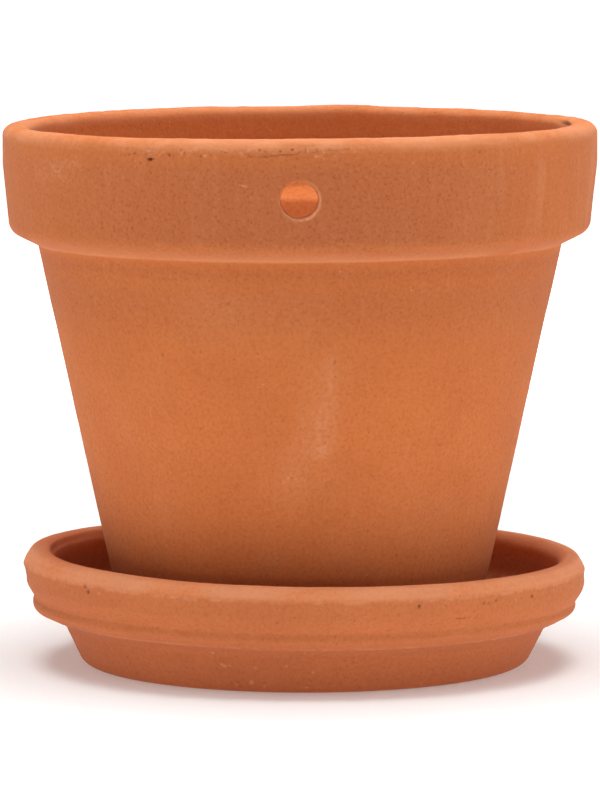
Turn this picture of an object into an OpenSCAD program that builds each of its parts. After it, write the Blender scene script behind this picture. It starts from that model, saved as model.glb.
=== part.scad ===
// Terracotta plant pot with a rimmed collar, standing in its own saucer.
// Z is up. The origin is on the axis of both pieces, on the surface that the saucer stands on,
// and the tie hole in the collar faces the front, along -Y.

/* [Pot] */
// Widest diameter of the pot, at the upright band of its collar
rim_d = 200; // [170:1:260]
// Height of the pot from its base to the top of its lip
pot_h = 176; // [130:1:230]
// Diameter of the base, before its edge is rounded
base_d = 117; // [80:1:145]
// Thickness of the body's wall, measured level
body_wall = 7.5; // [4:0.5:12]
// Thickness of the base
base_t = 9; // [5:0.5:16]
// Rounding of the edge around the base
base_round = 3; // [0.5:0.5:6]
// Rounding inside, where the wall meets the base
well_round = 9; // [2:0.5:16]

/* [Collar] */
// Height of the collar, from where it leaves the body to the top of the lip
collar_h = 41; // [30:1:60]
// Draw-in of the collar's face on each side, from its upright band down to its lower corner
collar_taper = 2.3; // [0.5:0.1:5]
// Step on each side, from the collar's lower corner in to the body
collar_step = 9.7; // [5:0.1:12]
// Height of the upright band at the top of the collar
band_h = 14; // [8:0.5:20]
// Thickness of the collar's wall at the lip
lip_t = 9; // [6:0.5:14]
// Slope of the collar's underside, in degrees from level
skirt_slope = 26; // [5:1:40]
// Rounding of the collar's lower corner
skirt_round = 4; // [1:0.5:6]
// Rounding of the lip's outer edge
lip_round_out = 5; // [2:0.5:5.5]
// Height of the inner ledge above the collar's underside
ledge_rise = 12.5; // [6:0.5:16]
// Fall of the inner ledge from its outer to its inner edge
ledge_fall = 4.5; // [2:0.5:8]

/* [Tie hole] */
// Diameter of the hole through the front of the collar
tie_hole_d = 12; // [6:0.5:16]
// Depth of its centre below the top of the lip
tie_hole_drop = 19.8; // [15:0.1:25]
// Width of the bevel at its outer edge
tie_hole_bevel = 0.5; // [0.2:0.1:1.5]

/* [Drain hole] */
// Diameter of the hole through the base
drain_d = 22; // [8:1:40]

/* [Saucer] */
// Height of the saucer
saucer_h = 37.3; // [30:0.1:50]
// Thickness of the saucer's floor
floor_t = 7.5; // [5:0.5:12]
// Thickness of the saucer's lower wall, measured level
saucer_wall = 8; // [5:0.5:12]
// Gap on the floor between the pot's base and the foot of the saucer's wall
floor_gap = 12.5; // [6:0.5:20]
// Gap at the top between the pot's body and the inside of the saucer's rim
rim_gap = 21; // [14:0.2:40]
// Thickness of the rolled rim
roll_t = 8.4; // [6:0.2:12]
// Slope of the lower wall outside, in degrees from upright
wall_slope = 26; // [10:1:35]
// Rounding of the edge around the foot
foot_round = 4.5; // [1:0.5:8]
// Rounding inside, where the wall meets the floor
bowl_round = 9; // [2:0.5:14]

/* [Saucer rings] */
// Height of the rolled rim, from the groove under it to its top
roll_h = 15.3; // [10:0.1:18]
// Height of the ring, from its lower corner to the groove
ring_h = 3; // [2:0.1:5]
// Height of the ring's sloping underside
ring_under_h = 6.3; // [3:0.1:6.5]
// Step from the rolled rim in to the ring below it
ring_step = 2.4; // [1:0.2:4]
// Rounding of the ring's lower corner
ring_round = 4.5; // [1:0.5:6]
// Swell of the rolled rim past its top edge
roll_swell = 0.8; // [0:0.1:2]
// Depth of the roll's widest line below its middle
roll_sag = 2; // [0:0.2:4]

/* [Hidden] */
$fn = 160;

// Points along each rounded corner
arc_steps = 8;
// Share of an edge that the rounding at one end may take
edge_share = 0.48;
// The lip's inner edge is rounded by what its outer rounding leaves of its thickness
lip_round_in = lip_t - lip_round_out;
// Gentle bend between the collar's sloping face and its upright band
band_bend = 30;
// Rounding of inside corners that tools leave sharp
crease = 1;
// Inward lean of the collar's inner face over its height
collar_draft = 0.8;
// Overlap past a surface that a cut goes through
past = 1;

// Heights on the pot
pot_z = floor_t;
lip_z = pot_z + pot_h;
band_z = lip_z - band_h;
neck_z = lip_z - collar_h;
skirt_z = neck_z + collar_step * tan(skirt_slope);
ledge_z = neck_z + ledge_rise;
well_z = pot_z + base_t;
tie_hole_z = lip_z - tie_hole_drop;

// Radii of the collar's band, of its lower corner, and of the body where the collar starts
band_r = rim_d / 2;
skirt_r = band_r - collar_taper;
neck_r = skirt_r - collar_step;
collar_lean = collar_taper / (band_z - skirt_z);
function collar_r(z) = band_r - collar_lean * max(0, band_z - z);

// How much the body's radius grows with each millimetre of height
body_flare = (neck_r - base_d / 2) / (neck_z - pot_z);
function body_r(z) = base_d / 2 + body_flare * (z - pot_z);

// Radii of the collar's inner face at the lip, and at the ledge
lip_in_r = band_r - lip_t;
ledge_r = lip_in_r - collar_draft;

// Heights on the saucer
groove_z = saucer_h - roll_h;
ring_low_z = groove_z - ring_h;
under_z = ring_low_z - ring_under_h;
roll_mid_z = (groove_z + saucer_h) / 2 - roll_sag;
// The bowl bends here, half-way up its inside
bowl_z = (floor_t + saucer_h) / 2;

// Radii of the saucer
floor_r = base_d / 2 + floor_gap;
wall_r = floor_r + saucer_wall;
wall_flare = tan(wall_slope);
foot_r = wall_r - floor_t * wall_flare;
under_r = foot_r + under_z * wall_flare;
rim_in_r = body_r(saucer_h) + rim_gap;
rim_out_r = rim_in_r + roll_t;
ring_r = rim_out_r - ring_step;
bowl_r = ring_r - saucer_wall;

function unit(v) = v / norm(v);

// The arc that rounds corner b of the path a, b, c, as a list of points
function rounded_corner(a, b, c, round) =
    round == 0 ? [b] :
    let(
        back = unit(a - b),
        ahead = unit(c - b),
        half = acos(back * ahead) / 2,
        trim = min(round / tan(half), edge_share * norm(a - b), edge_share * norm(c - b)),
        radius = trim * tan(half),
        centre = b + unit(back + ahead) * radius / sin(half),
        start = b + back * trim - centre,
        turn = (180 - 2 * half) * sign(back.y * ahead.x - back.x * ahead.y)
    )
    [for (i = [0 : arc_steps])
        let(angle = turn * i / arc_steps)
        centre + [start.x * cos(angle) - start.y * sin(angle), start.x * sin(angle) + start.y * cos(angle)]];

// An outline from corners [radius, height, rounding]; its first and last corner stay sharp
function rounded_path(corners) =
    let(last = len(corners) - 1)
    [for (i = [0 : last])
        let(b = [corners[i].x, corners[i].y])
        each (i == 0 || i == last)
            ? [b]
            : rounded_corner(
                [corners[i - 1].x, corners[i - 1].y], b,
                [corners[i + 1].x, corners[i + 1].y], corners[i].z)];

// Corners of the pot's section, up the outside from the base and down the inside
pot_corners = [
    [0, pot_z, 0],
    [base_d / 2, pot_z, base_round],
    [neck_r, neck_z, crease],
    [skirt_r, skirt_z, skirt_round],
    [band_r, band_z, band_bend],
    [band_r, lip_z, lip_round_out],
    [lip_in_r, lip_z, lip_round_in],
    [ledge_r, ledge_z, crease],
    [body_r(ledge_z - ledge_fall) - body_wall, ledge_z - ledge_fall, crease],
    [body_r(well_z) - body_wall, well_z, well_round],
    [0, well_z, 0],
];

// Corners of the saucer's section, up the outside from the foot and down the inside
saucer_corners = [
    [0, 0, 0],
    [foot_r, 0, foot_round],
    [under_r, under_z, crease],
    [ring_r, ring_low_z, ring_round],
    [ring_r, groove_z, crease / 2],
    [rim_out_r + roll_swell, roll_mid_z, roll_t],
    [rim_out_r, saucer_h, roll_t / 2],
    [rim_in_r, saucer_h, roll_t / 2],
    [bowl_r, bowl_z, bowl_round],
    [floor_r, floor_t, bowl_round],
    [0, floor_t, 0],
];

// The hole through the front of the collar, with its outer edge bevelled at 45 degrees
module tie_hole() {
    mouth_y = collar_r(tie_hole_z);
    translate([0, 0, tie_hole_z])
        rotate([90, 0, 0]) {
            cylinder(h = mouth_y + past, d = tie_hole_d);
            translate([0, 0, mouth_y - tie_hole_bevel - past])
                cylinder(
                    h = tie_hole_bevel + 2 * past,
                    d1 = tie_hole_d - 2 * past,
                    d2 = tie_hole_d + 2 * (tie_hole_bevel + past));
        }
}

// The hole through the base
module drain_hole() {
    translate([0, 0, pot_z - past])
        cylinder(h = base_t + 2 * past, d = drain_d);
}

module pot() {
    color([0.55, 0.23, 0.09])
        difference() {
            rotate_extrude()
                polygon(rounded_path(pot_corners));
            tie_hole();
            drain_hole();
        }
}

module saucer() {
    color([0.52, 0.21, 0.08])
        rotate_extrude()
            polygon(rounded_path(saucer_corners));
}

saucer();
pot();
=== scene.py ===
"""Looks of a terracotta plant pot that stands loose in its saucer.

Both pieces are turned shapes. Each is made as a fine mesh from its own section, then worked over
by hand-like marks: turning lines, an uneven lip, pits, a drag crack and the bevelled tie hole.
All sizes are in metres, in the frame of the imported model: Z up, the tie hole facing -Y.
"""

import logging
import math
from dataclasses import dataclass, field, replace
from enum import Enum

import bpy
import numpy as np
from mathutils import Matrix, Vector

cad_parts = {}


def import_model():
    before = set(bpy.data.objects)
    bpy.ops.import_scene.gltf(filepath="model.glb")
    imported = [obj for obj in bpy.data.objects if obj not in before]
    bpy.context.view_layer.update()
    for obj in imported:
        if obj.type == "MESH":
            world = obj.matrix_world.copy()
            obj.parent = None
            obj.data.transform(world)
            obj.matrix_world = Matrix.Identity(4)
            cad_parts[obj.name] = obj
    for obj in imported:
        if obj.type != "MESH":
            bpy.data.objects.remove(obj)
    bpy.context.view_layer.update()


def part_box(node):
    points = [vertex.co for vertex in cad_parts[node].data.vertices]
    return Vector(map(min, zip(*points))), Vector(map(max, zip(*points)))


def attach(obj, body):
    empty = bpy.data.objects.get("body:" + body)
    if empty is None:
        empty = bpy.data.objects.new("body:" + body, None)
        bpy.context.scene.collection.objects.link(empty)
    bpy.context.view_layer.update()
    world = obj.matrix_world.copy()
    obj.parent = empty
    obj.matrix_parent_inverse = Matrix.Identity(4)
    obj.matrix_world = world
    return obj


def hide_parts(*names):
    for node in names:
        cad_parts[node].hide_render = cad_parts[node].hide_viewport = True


LOG = logging.getLogger("pot")
Socket = bpy.types.NodeSocket
MM = 0.001
BAKE_MAP = "OFBake"
# The baking map's upper strip, above this share of its height, belongs to faces that a cutter left.
CUT_STRIP = 0.97
# The patch that is the whole of a surface.
WHOLE = (slice(None), slice(None))
# Degrees between a mesh's columns, by their degrees from the front.
COLUMN_STEPS = {0: 0.2, 36: 0.2, 60: 0.3, 85: 0.45, 110: 0.9, 180: 0.9}


class Skin(Enum):
    """Which side of a turned piece a row of its mesh lies on."""

    FOOT = 0
    OUTSIDE = 1
    INSIDE = 2


class PaintedMask(Enum):
    """Names of the masks that the clay's finish reads: marks and wear, and painted light and shade."""

    PALE = "pale"
    # Dark of dirt and painted shade in pits and cracks, and painted shade in the lip's split and the saucer's
    # bowl.
    DARK = "dark"
    # Pale of rubbed wear, and painted highlight on the lip, the saucer's crown and the collar's lower edge.
    RUBBED_AND_LIT = "rubbed_and_lit"
    # Painted shade: the collar's front, under the collar, low on the body and on the saucer's lower wall.
    PAINTED_SHADE = "painted_shade"
    # Painted light: the body's middle, the ledge inside the pot, the saucer's crown and the collar's lower
    # edge.
    PAINTED_LIGHT = "painted_light"


@dataclass(frozen=True)
class Corner:
    """A corner of a turned section.

    Its edge to the next corner has rows of the given spacing, and belongs to the given skin.
    """

    radius: float
    height: float
    rounding: float
    spacing: float
    skin: Skin


@dataclass(frozen=True)
class Pit:
    """A small dent or, with a negative depth, a bump on the outside of a turned piece."""

    angle: float
    height: float
    width: float
    tall: float
    depth: float
    dark: float = 0.0
    pale: float = 0.0


@dataclass(frozen=True)
class Scratch:
    """A fine line on the outside, through points of an angle in degrees and a height."""

    points: tuple[tuple[float, float], ...]
    width: float
    depth: float
    dark: float = 0.0
    pale: float = 0.0


@dataclass(frozen=True)
class Smudge:
    """A soft oval stain on the outside, at an angle in degrees and a height."""

    angle: float
    height: float
    width: float
    tall: float
    amount: float


@dataclass(frozen=True)
class Band:
    """A level band of one mask round a piece, which fades out towards both its heights. The bands here are
    painted light and painted shade.
    """

    stain: PaintedMask
    skin: Skin
    low: float
    high: float
    soft: float
    amount: float


@dataclass(frozen=True)
class Turning:
    """A line turned round the saucer's outside. It stands out by its relief, or in if that is negative."""

    height: float
    width: float
    relief: float


@dataclass(frozen=True)
class Wave:
    """One of the waves that a lip's height runs through in a turn."""

    per_turn: int
    rise: float
    start: float


@dataclass(frozen=True)
class Speckling:
    """Small pits strewn at random between two heights of the outside. Sizes and depth are in millimetres."""

    count: int
    heights: tuple[float, float]
    sizes: tuple[float, float]
    depth: float
    dark: float


@dataclass(frozen=True)
class Unevenness:
    """Slow waves, fine grain and turning rings over a whole piece: cells of noise, and their relief."""

    wave_cells: tuple[int, int]
    wave_relief: float
    grain_cells: tuple[int, int]
    grain_relief: float
    ring_cells: tuple[int, int]
    ring_relief: float


def bell(value: np.ndarray, middle: float, width: float, power: int = 2) -> np.ndarray:
    """A soft hump that is 1 at its middle and falls away over its width."""
    return np.exp(-(((value - middle) / width) ** power))


def climb(value: np.ndarray, start: float, length: float) -> np.ndarray:
    """A run from 0 to 1 that begins at the start and takes the given length."""
    return np.clip((value - start) / length, 0, 1)


def fall(value: np.ndarray, end: float, length: float) -> np.ndarray:
    """A run from 1 to 0 that takes the given length and ends at the end."""
    return np.clip((end - value) / length, 0, 1)


def rounded_section(corners: list[Corner], arc_steps: int = 14) -> tuple[np.ndarray, np.ndarray, np.ndarray]:
    """Rounds the corners of a section and keeps each point's spacing and skin.

    Args:
        corners: The section's corners in order. The first and last stay sharp.
        arc_steps: Straight pieces along each rounded corner.

    Returns:
        The points as radius and height, the row spacing at each, and the skin of each.
    """
    points: list[tuple[float, float]] = []
    spacing: list[float] = []
    skins: list[int] = []
    last = len(corners) - 1
    for i, corner in enumerate(corners):
        here = np.array([corner.radius, corner.height])
        if i in (0, last) or corner.rounding == 0:
            arc = [here]
        else:
            before = np.array([corners[i - 1].radius, corners[i - 1].height]) - here
            after = np.array([corners[i + 1].radius, corners[i + 1].height]) - here
            back, ahead = before / np.linalg.norm(before), after / np.linalg.norm(after)
            half = math.acos(float(np.clip(back @ ahead, -1, 1))) / 2
            reach = 0.48 * min(np.linalg.norm(before), np.linalg.norm(after))
            trim = min(corner.rounding / math.tan(half), reach)
            radius = trim * math.tan(half)
            centre = here + (back + ahead) / np.linalg.norm(back + ahead) * radius / math.sin(half)
            start = here + back * trim - centre
            turn = (math.pi - 2 * half) * np.sign(back[1] * ahead[0] - back[0] * ahead[1])
            arc = []
            for k in range(arc_steps + 1):
                a = turn * k / arc_steps
                spin = np.array([[math.cos(a), -math.sin(a)], [math.sin(a), math.cos(a)]])
                arc.append(centre + spin @ start)
        before_skin = corners[max(i - 1, 0)].skin.value
        for k, point in enumerate(arc):
            past_middle = 2 * k >= len(arc) - 1
            source = corner if past_middle else corners[max(i - 1, 0)]
            points.append((float(point[0]), float(point[1])))
            spacing.append(min(corner.spacing, source.spacing))
            skins.append(corner.skin.value if past_middle else before_skin)
    return np.array(points), np.array(spacing), np.array(skins)


class Lattice:
    """Seeded smooth noise that runs on without a seam around a turned piece."""

    def __init__(self, seed: int) -> None:
        """Starts the noise from a seed."""
        self._rng = np.random.default_rng(seed)

    def smooth(
        self, around: np.ndarray, along: np.ndarray, cells_around: int, cells_along: int
    ) -> np.ndarray:
        """Makes one layer of noise between -1 and 1.

        Args:
            around: Each column's place around, from 0 to 1.
            along: Each row's place along the section, from 0 to 1.
            cells_around: Cells of noise in one turn.
            cells_along: Cells of noise along the section.

        Returns:
            The noise, by row and column.
        """
        knots = self._rng.uniform(-1, 1, (cells_along + 2, cells_around))
        u, v = around * cells_around, along * cells_along
        iu, iv = np.floor(u).astype(int), np.floor(v).astype(int)
        fu, fv = u - iu, v - iv
        fu, fv = fu * fu * (3 - 2 * fu), fv * fv * (3 - 2 * fv)
        left, right = iu % cells_around, (iu + 1) % cells_around
        low, high = iv, np.minimum(iv + 1, cells_along + 1)
        bottom = knots[np.ix_(low, left)] * (1 - fu) + knots[np.ix_(low, right)] * fu
        top = knots[np.ix_(high, left)] * (1 - fu) + knots[np.ix_(high, right)] * fu
        return bottom * (1 - fv[:, None]) + top * fv[:, None]

    def layers(
        self, around: np.ndarray, along: np.ndarray, cells: tuple[int, int], octaves: int
    ) -> np.ndarray:
        """Adds layers of noise, each twice as fine and half as strong as the last.

        Args:
            around: Each column's place around, from 0 to 1.
            along: Each row's place along the section, from 0 to 1.
            cells: Cells of the coarsest layer, around and along.
            octaves: How many layers.

        Returns:
            The noise, by row and column.
        """
        total = np.zeros((len(along), len(around)))
        for k in range(octaves):
            total += self.smooth(around, along, cells[0] * 2**k, cells[1] * 2**k) * 0.5**k
        return total


class TurnedSurface:
    """A turned piece's mesh as rows along its section and columns around it.

    Columns crowd towards the front, where the fine marks are. Marks raise or lower the surface
    along its own normal and paint its masks.
    """

    def __init__(self, corners: list[Corner], seed: int) -> None:
        """Samples the section and makes the bare surface.

        Args:
            corners: The section's corners in order, up the outside and down the inside.
            seed: Seed of every random mark on this piece.
        """
        points, spacing, skins = rounded_section(corners)
        self._place_rows(points, spacing, skins)
        self._place_columns()
        shape = (len(self.radius), len(self.theta))
        self.lift = np.zeros(shape)
        self.rise = np.zeros(shape)
        self.shift_x = np.zeros(shape)
        self.masks = {stain: np.zeros(shape) for stain in PaintedMask}
        self.rng = np.random.default_rng(seed)
        self.noise = Lattice(seed + 1)

    def _place_rows(self, points: np.ndarray, spacing: np.ndarray, skins: np.ndarray) -> None:
        """Spaces the rows along the section as each part of it asks.

        Args:
            points: The section's points as radius and height.
            spacing: Row spacing at each point.
            skins: Skin of each point.
        """
        lengths = np.linalg.norm(np.diff(points, axis=0), axis=1)
        run = np.concatenate([[0.0], np.cumsum(lengths)])
        step = (spacing[1:] + spacing[:-1]) / 2
        count = np.concatenate([[0.0], np.cumsum(lengths / step)])
        rows = int(round(count[-1])) + 1
        self.run = np.interp(np.linspace(0, count[-1], rows), count, run)
        self.radius = np.interp(self.run, run, points[:, 0])
        self.height = np.interp(self.run, run, points[:, 1])
        nearest = np.clip(np.searchsorted(run, self.run, side="right") - 1, 0, len(skins) - 1)
        self.skin = skins[nearest]
        along = np.stack([np.gradient(self.radius), np.gradient(self.height)], axis=1)
        along /= np.linalg.norm(along, axis=1)[:, None]
        self.out_radius, self.out_height = along[:, 1], -along[:, 0]
        self.share = self.run / self.run[-1]

    def _place_columns(self) -> None:
        """Spaces the columns around the axis, from the back round by -X, the front and +X."""
        degrees = np.linspace(-180, 180, 3601)
        step = np.interp(np.abs(degrees), list(COLUMN_STEPS), list(COLUMN_STEPS.values()))
        count = np.concatenate([[0.0], np.cumsum(np.diff(degrees) / ((step[1:] + step[:-1]) / 2))])
        columns = int(round(count[-1]))
        degrees = np.interp(np.linspace(0, count[-1], columns + 1)[:-1], count, degrees)
        self.theta = np.radians(degrees)
        self.around = (degrees + 180) / 360

    @property
    def degrees(self) -> np.ndarray:
        """Each column's angle in degrees, as a row that spreads over the surface."""
        return np.degrees(self.theta)[None, :]

    def cloud(self, cells: tuple[int, int], octaves: int) -> np.ndarray:
        """Layers of noise over the whole surface."""
        return self.noise.layers(self.around, self.share, cells, octaves)

    def roughen(self, uneven: Unevenness, free: np.ndarray) -> None:
        """Lays unevenness over the surface, where it is free to be uneven.

        Args:
            uneven: The unevenness.
            free: How free each point is, from 0 to 1.
        """
        self.lift += uneven.wave_relief * self.cloud(uneven.wave_cells, 3) * free
        self.lift += uneven.grain_relief * self.cloud(uneven.grain_cells, 2) * free
        rings = self.noise.smooth(self.around, self.share, *uneven.ring_cells)
        self.lift += uneven.ring_relief * rings * free

    def side(self, skin: Skin, low: float = -1.0, high: float = 1.0, soft: float = 1e-4) -> np.ndarray:
        """Weights the rows on one skin between two heights.

        Args:
            skin: The skin wanted.
            low: Height at which the weight begins.
            high: Height at which it ends.
            soft: Height over which it fades at each end.

        Returns:
            A weight for each row, as a column that spreads over the surface.
        """
        fade = np.clip((self.height - low) / soft, 0, 1) * np.clip((high - self.height) / soft, 0, 1)
        return (fade * (self.skin == skin.value))[:, None]

    def window(self, angle: float, height: float, reach: float) -> tuple[np.ndarray, np.ndarray]:
        """Rows and columns of the outside that lie within reach of a place.

        Args:
            angle: The place's angle in degrees.
            height: Its height.
            reach: How far the window goes from it.

        Returns:
            The rows' and the columns' numbers.
        """
        rows = np.flatnonzero((self.skin == Skin.OUTSIDE.value) & (np.abs(self.height - height) < reach))
        radius = float(np.max(self.radius))
        columns = np.flatnonzero(np.abs(self.turn_from(angle)) * radius < reach)
        return rows, columns

    def turn_from(self, angle: float) -> np.ndarray:
        """Each column's turn from an angle in degrees, in radians between half a turn back and ahead."""
        return (self.theta - math.radians(angle) + math.pi) % (2 * math.pi) - math.pi

    def flat_place(self, rows: np.ndarray, columns: np.ndarray, angle: float) -> np.ndarray:
        """Distance across from an angle, for the given rows and columns."""
        return self.radius[rows][:, None] * self.turn_from(angle)[columns][None, :]

    def dent(self, pit: Pit) -> None:
        """Presses one pit into the outside, with a ragged edge.

        Args:
            pit: The pit, with its angle in degrees.
        """
        reach = 3 * max(pit.width, pit.tall) + 0.4 * MM
        rows, columns = self.window(pit.angle, pit.height, reach)
        if not len(rows) or not len(columns):
            return
        across = self.flat_place(rows, columns, pit.angle) / (pit.width / 2)
        up = (self.height[rows][:, None] - pit.height) / (pit.tall / 2)
        wobble = 1 + 0.25 * np.sin(3 * np.arctan2(up, across) + pit.angle)
        far = (across**2 + up**2) * wobble
        bowl = np.exp(-(far**1.4))
        brim = np.exp(-((np.sqrt(far) - 1.6) ** 2) * 3)
        patch = np.ix_(rows, columns)
        self.lift[patch] -= pit.depth * (bowl - 0.12 * brim)
        self.paint(PaintedMask.DARK, pit.dark * bowl, patch)
        self.paint(PaintedMask.PALE, pit.pale * np.maximum(bowl, 0.4 * brim), patch)

    def paint(self, stain: PaintedMask, amount: np.ndarray, patch: tuple = WHOLE) -> None:
        """Lays a mask over what a patch already has, keeping the stronger."""
        mask = self.masks[stain]
        mask[patch] = np.maximum(mask[patch], amount)

    def shade(self, band: Band) -> None:
        """Adds a level band of painted light or painted shade to what is already there."""
        self.masks[band.stain] += band.amount * self.side(band.skin, band.low, band.high, band.soft)

    def score(self, scratch: Scratch) -> None:
        """Cuts a fine line along its points, or raises one if its depth is negative.

        Args:
            scratch: The line, with its points' angles in degrees.
        """
        for (a0, z0), (a1, z1) in zip(scratch.points, scratch.points[1:]):
            middle, height = (a0 + a1) / 2, (z0 + z1) / 2
            radius = float(np.max(self.radius))
            half = max(abs(math.radians(a1 - a0)) * radius, abs(z1 - z0)) / 2
            rows, columns = self.window(middle, height, half + 4 * scratch.width)
            if not len(rows) or not len(columns):
                continue
            x = self.flat_place(rows, columns, middle)
            z = self.height[rows][:, None] - height
            ex, ez = math.radians(a1 - a0) * radius / 2, (z1 - z0) / 2
            size = max(ex * ex + ez * ez, 1e-12)
            t = np.clip((x * ex + z * ez) / size, -1, 1)
            far = np.hypot(x - t * ex, z - t * ez) / (scratch.width / 2)
            line = np.exp(-(far**2))
            patch = np.ix_(rows, columns)
            if scratch.depth > 0:
                self.lift[patch] = np.minimum(self.lift[patch], -scratch.depth * line)
            else:
                self.lift[patch] -= scratch.depth * line
            self.paint(PaintedMask.DARK, scratch.dark * line, patch)
            self.paint(PaintedMask.PALE, scratch.pale * line, patch)

    def smudged(self, smudges: tuple[Smudge, ...]) -> np.ndarray:
        """The weight of some soft oval stains on the outside, added up.

        Args:
            smudges: The stains.

        Returns:
            A weight for each point.
        """
        total = np.zeros_like(self.lift)
        for smudge in smudges:
            turn = self.turn_from(smudge.angle)
            across = self.radius[:, None] * turn[None, :] / (smudge.width / 2)
            up = (self.height[:, None] - smudge.height) / (smudge.tall / 2)
            total += smudge.amount * np.exp(-(across**2) - up**2)
        return total * (self.skin == Skin.OUTSIDE.value)[:, None]

    def places(self) -> np.ndarray:
        """The worked surface's points by row and column.

        Returns:
            The places, as rows by columns by three.
        """
        radius = self.radius[:, None] + self.lift * self.out_radius[:, None]
        height = self.height[:, None] + self.lift * self.out_height[:, None] + self.rise
        x = radius * np.sin(self.theta)[None, :] + self.shift_x
        y = -radius * np.cos(self.theta)[None, :]
        return np.stack([x, y, height], axis=2)

    def mesh(self, name: str, ring: bool) -> bpy.types.Mesh:
        """Builds the mesh, with its map for baking.

        Args:
            name: Name of the mesh.
            ring: Whether the section closes on itself round a hole; otherwise both its ends
                meet the axis.

        Returns:
            The new mesh.
        """
        places = self.places()
        rows, columns = places.shape[:2]
        if ring:
            rows -= 1
            points = places[:-1].reshape(-1, 3)
        else:
            poles = [[0.0, 0.0, float(places[0, 0, 2])], [0.0, 0.0, float(places[-1, 0, 2])]]
            points = np.concatenate([places[1:-1].reshape(-1, 3), np.array(poles)])
            rows -= 2
        ids = np.arange(rows * columns).reshape(rows, columns)
        below = ids if ring else ids[:-1]
        above = np.roll(ids, -1, axis=0) if ring else ids[1:]
        quads = np.stack([below, np.roll(below, -1, 1), np.roll(above, -1, 1), above], axis=2).reshape(-1, 4)
        u0 = np.arange(columns) / columns
        u1 = (np.arange(columns) + 1) / columns
        share = self.share * CUT_STRIP
        v0 = share[: len(below)] if ring else share[1 : 1 + len(below)]
        v1 = share[1 : 1 + len(below)] if ring else share[2 : 2 + len(below)]
        uv = np.zeros((len(below), columns, 4, 2))
        uv[..., 0, 0] = uv[..., 3, 0] = u0[None, :]
        uv[..., 1, 0] = uv[..., 2, 0] = u1[None, :]
        uv[..., 0, 1] = uv[..., 1, 1] = v0[:, None]
        uv[..., 2, 1] = uv[..., 3, 1] = v1[:, None]
        corners, starts = quads.reshape(-1), np.arange(len(quads)) * 4
        map_places = uv.reshape(-1, 2)
        if not ring:
            first, last = rows * columns, rows * columns + 1
            low = np.stack([np.full(columns, first), np.roll(ids[0], -1), ids[0]], axis=1)
            high = np.stack([ids[-1], np.roll(ids[-1], -1), np.full(columns, last)], axis=1)
            middle = (u0 + u1) / 2
            low_uv = np.stack([np.stack([middle, np.full(columns, share[0])], 1),
                               np.stack([u1, np.full(columns, share[1])], 1),
                               np.stack([u0, np.full(columns, share[1])], 1)], axis=1)
            high_uv = np.stack([np.stack([u0, np.full(columns, share[-2])], 1),
                                np.stack([u1, np.full(columns, share[-2])], 1),
                                np.stack([middle, np.full(columns, share[-1])], 1)], axis=1)
            extra = np.concatenate([low.reshape(-1), high.reshape(-1)])
            starts = np.concatenate([starts, len(corners) + np.arange(2 * columns) * 3])
            corners = np.concatenate([corners, extra])
            map_places = np.concatenate([map_places, low_uv.reshape(-1, 2), high_uv.reshape(-1, 2)])
        made = bpy.data.meshes.new(name)
        made.vertices.add(len(points))
        made.vertices.foreach_set("co", points.astype(np.float32).reshape(-1))
        made.loops.add(len(corners))
        made.loops.foreach_set("vertex_index", corners.astype(np.int32))
        made.polygons.add(len(starts))
        made.polygons.foreach_set("loop_start", starts.astype(np.int32))
        made.update(calc_edges=True)
        layer = made.uv_layers.new(name=BAKE_MAP)
        layer.uv.foreach_set("vector", map_places.astype(np.float32).reshape(-1))
        made.validate()
        return made

    def write_masks(self, made: bpy.types.Mesh, cut_pale: float) -> None:
        """Writes the masks to the mesh's points, found by their place on the map.

        Args:
            made: The mesh, cut or not.
            cut_pale: Paleness of the faces that a cutter left.
        """
        corners = np.empty(len(made.loops), dtype=np.int32)
        made.loops.foreach_get("vertex_index", corners)
        uv = np.empty(len(made.loops) * 2, dtype=np.float32)
        made.uv_layers[BAKE_MAP].uv.foreach_get("vector", uv)
        uv = uv.reshape(-1, 2)
        place = np.zeros((len(made.vertices), 2))
        order = np.argsort(uv[:, 1])
        place[corners[order[::-1]]] = uv[order[::-1]]
        column = np.round(place[:, 0] * len(self.theta)).astype(int) % len(self.theta)
        row = np.interp(place[:, 1] / CUT_STRIP, self.share, np.arange(len(self.share)))
        row = np.round(row).astype(int)
        cut = place[:, 1] > CUT_STRIP + 1e-4
        # Every mask is written, the painted light and shade among them.
        for stain, mask in self.masks.items():
            values = np.clip(mask[row, column], 0, 1)
            values[cut] = cut_pale if stain is PaintedMask.PALE else 0.0
            layer = made.attributes.new(stain.value, "FLOAT", "POINT")
            layer.data.foreach_set("value", values.astype(np.float32))


@dataclass(frozen=True)
class Texture:
    """One noise in the clay: its cells per metre, its finer layers, and the share that each keeps."""

    scale: float
    detail: float
    rough: float


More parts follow.
